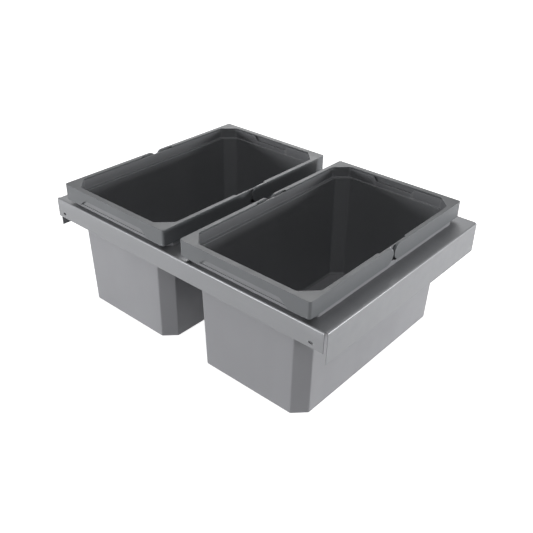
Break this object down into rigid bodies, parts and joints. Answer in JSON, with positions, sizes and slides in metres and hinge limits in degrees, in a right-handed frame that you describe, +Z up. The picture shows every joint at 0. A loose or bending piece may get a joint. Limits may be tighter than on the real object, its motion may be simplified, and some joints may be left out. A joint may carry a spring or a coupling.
{
  "type": "pull-out waste bin insert",
  "caption": "Bent steel carrier frame for a cabinet drawer, holding tapered waste bins whose split rims swing up as carrying handles.",
  "frame": {"origin": "centre of the carrier frame, on the underside of its top plate, which rests on the drawer's sides", "axes": "+X along the front edge to the right, +Y into the cabinet, +Z up"},
  "size_m": [0.55, 0.394, 0.2095],
  "materials": {
    "frame_paint": "satin silver-grey powder coat",
    "bin_plastic": "finely textured mid grey",
    "handle_plastic": "smooth satin grey"
  },
  "bodies": {
    "frame": {"carrier_frame": "frame_paint"},
    "left_bin_body": {"left_bin": "bin_plastic"},
    "left_front_handle_body": {"left_bin_front_handle": "handle_plastic"},
    "left_rear_handle_body": {"left_bin_rear_handle": "handle_plastic"},
    "right_bin_body": {"right_bin": "bin_plastic"},
    "right_front_handle_body": {"right_bin_front_handle": "handle_plastic"},
    "right_rear_handle_body": {"right_bin_rear_handle": "handle_plastic"}
  },
  "joints": [
    {"name": "left_bin_lift", "type": "slide", "parent": "frame", "child": "left_bin_body", "axis": [0, 0, 1], "range_m": [0, 0.2]},
    {"name": "right_bin_lift", "type": "slide", "parent": "frame", "child": "right_bin_body", "axis": [0, 0, 1], "range_m": [0, 0.2]},
    {"name": "left_front_handle_swing", "type": "hinge", "parent": "left_bin_body", "child": "left_front_handle_body", "pos_m": [-0.1325, -0.02195, 0.02235], "axis": [-1, 0, 0], "range_deg": [0, 90]},
    {"name": "left_rear_handle_swing", "type": "hinge", "parent": "left_bin_body", "child": "left_rear_handle_body", "pos_m": [-0.1325, 0.00695, 0.02235], "axis": [1, 0, 0], "range_deg": [0, 90]},
    {"name": "right_front_handle_swing", "type": "hinge", "parent": "right_bin_body", "child": "right_front_handle_body", "pos_m": [0.1325, -0.02195, 0.02235], "axis": [-1, 0, 0], "range_deg": [0, 90]},
    {"name": "right_rear_handle_swing", "type": "hinge", "parent": "right_bin_body", "child": "right_rear_handle_body", "pos_m": [0.1325, 0.00695, 0.02235], "axis": [1, 0, 0], "range_deg": [0, 90]}
  ]
}
